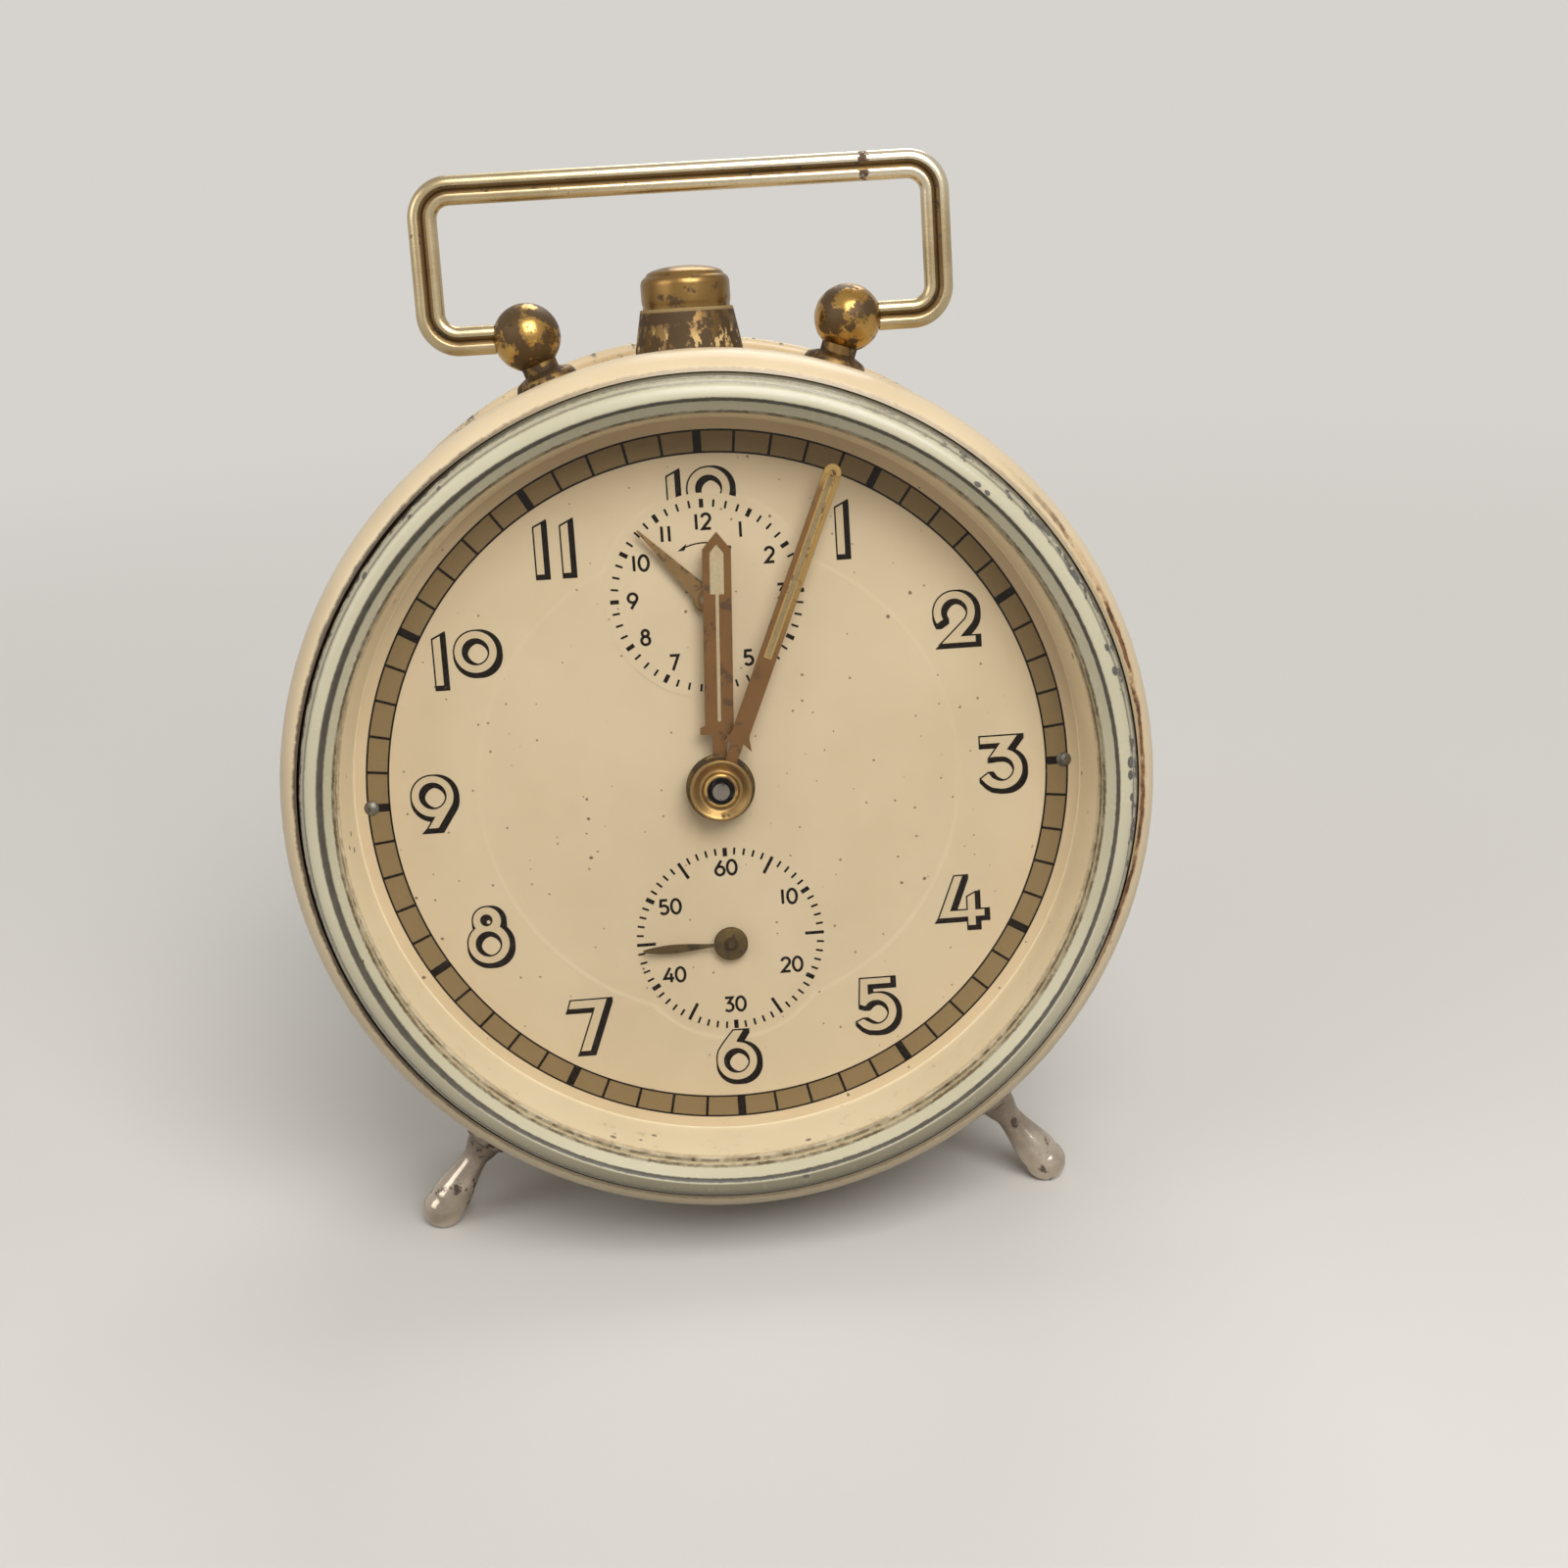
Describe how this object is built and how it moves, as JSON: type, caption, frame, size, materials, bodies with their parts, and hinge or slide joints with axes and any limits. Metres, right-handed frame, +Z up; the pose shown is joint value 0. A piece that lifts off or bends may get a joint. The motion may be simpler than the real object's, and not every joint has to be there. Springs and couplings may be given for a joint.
{
  "type": "table alarm clock",
  "caption": "Wind-up table alarm clock: round drum case on feet, wire handle, stop button, bezel and glass, printed dial with hands, bell, keys and a geared movement.",
  "frame": {"origin": "centre of the bounding box's base, on the table the clock stands on", "axes": "+Z up from the table, +Y from the dial towards the back, +X to the right of the dial as seen from the front"},
  "size_m": [0.1124, 0.0698, 0.1366],
  "materials": {
    "cream_enamel": "aged gloss enamel",
    "mint_enamel": "aged gloss enamel with chips",
    "glass": "clear, domed",
    "dial_print": "matte printed dial",
    "nickel": "dulled nickel plate",
    "brass": "tarnished",
    "steel": "bare steel",
    "blued_steel": "tempered spring steel",
    "gilt_hands": "coppery gilt"
  },
  "bodies": {
    "case": {"case_shell": "cream_enamel", "bezel": "mint_enamel", "crystal": "glass", "dial_surround": "cream_enamel", "dial_plate": "dial_print", "dial_pins": "nickel", "mounting_ring": "steel", "plate_screws": "nickel", "foot_left": "nickel", "foot_right": "nickel", "fitting_nuts": "brass", "post_left": "brass", "post_right": "brass", "button_collar": "brass", "button_spring": "steel", "back_cover": "cream_enamel", "back_lugs": "steel", "back_screws": "nickel", "bell": "nickel", "bell_post": "brass", "front_plate": "brass", "rear_plate": "brass", "pillars": "steel", "pillar_nuts": "brass", "plate_studs": "steel", "hairspring": "blued_steel", "time_mainspring": "blued_steel", "alarm_mainspring": "blued_steel"},
    "carry_handle": {"handle": "brass"},
    "button": {"stop_button": "brass"},
    "lever_to_stop": {"stop_lever": "steel"},
    "minute": {"centre_arbor": "steel", "centre_wheel": "brass", "cannon_pinion": "brass", "minute_hand": "gilt_hands", "hand_set_knob": "brass"},
    "hour": {"hour_wheel": "brass", "hour_hand": "gilt_hands"},
    "minute_idler": {"minute_wheel": "brass"},
    "third": {"third_wheel": "brass"},
    "seconds": {"seconds_wheel": "brass", "seconds_hand": "gilt_hands"},
    "escape": {"escape_wheel": "brass"},
    "lever": {"pallet_lever": "steel"},
    "balance": {"balance_wheel": "brass"},
    "time_great": {"time_great_wheel": "brass"},
    "time_click_body": {"time_click": "steel"},
    "time_winding": {"time_winding_arbor": "steel", "time_key": "brass"},
    "alarm_great": {"alarm_great_wheel": "brass"},
    "alarm_click_body": {"alarm_click": "steel"},
    "alarm_winding": {"alarm_winding_arbor": "steel", "alarm_key": "brass"},
    "alarm_escape": {"alarm_escape_wheel": "brass"},
    "hammer_body": {"hammer": "steel"},
    "alarm_setting": {"alarm_arbor": "steel", "alarm_hand": "gilt_hands", "alarm_set_knob": "brass"},
    "alarm_release": {"alarm_wheel": "brass"},
    "rate_lever": {"regulator": "steel"}
  },
  "joints": [
    {"name": "handle_swing", "type": "hinge", "parent": "case", "child": "carry_handle", "pos_m": [0, 0.00489, 0.11636], "axis": [1, 0, 0], "range_deg": [-94, 94]},
    {"name": "button_press", "type": "slide", "parent": "case", "child": "button", "axis": [0, -0.1564, -0.9877], "range_m": [0, 0.0024], "stiffness_N_per_m": 400, "springref_m": -0.002, "deforming": ["button_spring"]},
    {"name": "stop_lever_turn", "type": "hinge", "parent": "case", "child": "lever_to_stop", "pos_m": [-0.026, 0.00094, 0.09527], "axis": [0, 0.9877, -0.1564], "range_deg": [0, 5.5]},
    {"name": "minute_turn", "type": "hinge", "parent": "case", "child": "minute", "pos_m": [0, 0.00024, 0.05893], "axis": [0, 0.9877, -0.1564], "continuous": true},
    {"name": "hour_turn", "type": "hinge", "parent": "case", "child": "hour", "pos_m": [0, -0.01457, 0.06127], "axis": [0, 0.9877, -0.1564], "continuous": true},
    {"name": "minute_wheel_turn", "type": "hinge", "parent": "case", "child": "minute_idler", "pos_m": [0.015, -0.01062, 0.06065], "axis": [0, 0.9877, -0.1564], "continuous": true},
    {"name": "third_turn", "type": "hinge", "parent": "case", "child": "third", "pos_m": [0.01154, -0.00192, 0.04529], "axis": [0, 0.9877, -0.1564], "continuous": true},
    {"name": "seconds_turn", "type": "hinge", "parent": "case", "child": "seconds", "pos_m": [0, -0.00304, 0.03819], "axis": [0, 0.9877, -0.1564], "continuous": true},
    {"name": "escape_turn", "type": "hinge", "parent": "case", "child": "escape", "pos_m": [-0.011, -0.00234, 0.04262], "axis": [0, 0.9877, -0.1564], "continuous": true},
    {"name": "time_great_turn", "type": "hinge", "parent": "case", "child": "time_great", "pos_m": [-0.02046, 0.00703, 0.06981], "axis": [0, 0.9877, -0.1564], "continuous": true},
    {"name": "alarm_wheel_turn", "type": "hinge", "parent": "case", "child": "alarm_release", "pos_m": [0, -0.00785, 0.08451], "axis": [0, 0.9877, -0.1564], "continuous": true},
    {"name": "time_click_turn", "type": "hinge", "parent": "time_great", "child": "time_click_body", "pos_m": [-0.03221, 0.00784, 0.06536], "axis": [0, 0.9877, -0.1564], "range_deg": [0, 12], "stiffness_Nm_per_rad": 0.0003, "springref_deg": -5.73},
    {"name": "time_winding_turn", "type": "hinge", "parent": "case", "child": "time_winding", "pos_m": [-0.02046, 0.01197, 0.06903], "axis": [0, 0.9877, -0.1564], "continuous": true},
    {"name": "alarm_great_turn", "type": "hinge", "parent": "case", "child": "alarm_great", "pos_m": [0.024, 0.00706, 0.07], "axis": [0, 0.9877, -0.1564], "continuous": true},
    {"name": "alarm_click_turn", "type": "hinge", "parent": "alarm_great", "child": "alarm_click_body", "pos_m": [0.02617, 0.01047, 0.08192], "axis": [0, 0.9877, -0.1564], "range_deg": [0, 12], "stiffness_Nm_per_rad": 0.0003, "springref_deg": -5.73},
    {"name": "alarm_winding_turn", "type": "hinge", "parent": "case", "child": "alarm_winding", "pos_m": [0.024, 0.012, 0.06922], "axis": [0, 0.9877, -0.1564], "continuous": true},
    {"name": "alarm_escape_turn", "type": "hinge", "parent": "case", "child": "alarm_escape", "pos_m": [0.02851, -0.00109, 0.05052], "axis": [0, 0.9877, -0.1564], "continuous": true},
    {"name": "hammer_swing", "type": "hinge", "parent": "case", "child": "hammer_body", "pos_m": [0.03301, 0.00284, 0.04333], "axis": [0, 0.9877, -0.1564], "range_deg": [-1.8, 6]},
    {"name": "alarm_set_turn", "type": "hinge", "parent": "case", "child": "alarm_setting", "pos_m": [0, 0.004, 0.08263], "axis": [0, 0.9877, -0.1564], "continuous": true},
    {"name": "balance_swing", "type": "hinge", "parent": "case", "child": "balance", "pos_m": [-0.02848, -0.00333, 0.03634], "axis": [0, 0.9877, -0.1564], "range_deg": [-135, 135], "stiffness_Nm_per_rad": 0.00003},
    {"name": "pallet_lever_swing", "type": "hinge", "parent": "case", "child": "lever", "pos_m": [-0.01899, 0.00017, 0.03928], "axis": [0, 0.9877, -0.1564], "range_deg": [-5.1, 5.1]},
    {"name": "regulator_swing", "type": "hinge", "parent": "case", "child": "rate_lever", "pos_m": [-0.02848, 0.00753, 0.03462], "axis": [0, 0.9877, -0.1564], "range_deg": [-12, 12]}
  ],
  "couplings": [
    {"joint": "stop_lever_turn", "follows": "button_press", "rad_per_m": 38.462},
    {"joint": "hour_turn", "follows": "minute_turn", "ratio": 0.083333},
    {"joint": "minute_wheel_turn", "follows": "minute_turn", "ratio": -0.33333},
    {"joint": "third_turn", "follows": "minute_turn", "ratio": -8},
    {"joint": "seconds_turn", "follows": "minute_turn", "ratio": 60},
    {"joint": "escape_turn", "follows": "minute_turn", "ratio": -600},
    {"joint": "time_great_turn", "follows": "minute_turn", "ratio": -0.16667},
    {"joint": "alarm_wheel_turn", "follows": "minute_turn", "ratio": -0.083333},
    {"joint": "alarm_escape_turn", "follows": "alarm_great_turn", "ratio": -6},
    {"joint": "pallet_lever_swing", "follows": "balance_swing", "ratio": 0.037037}
  ]
}
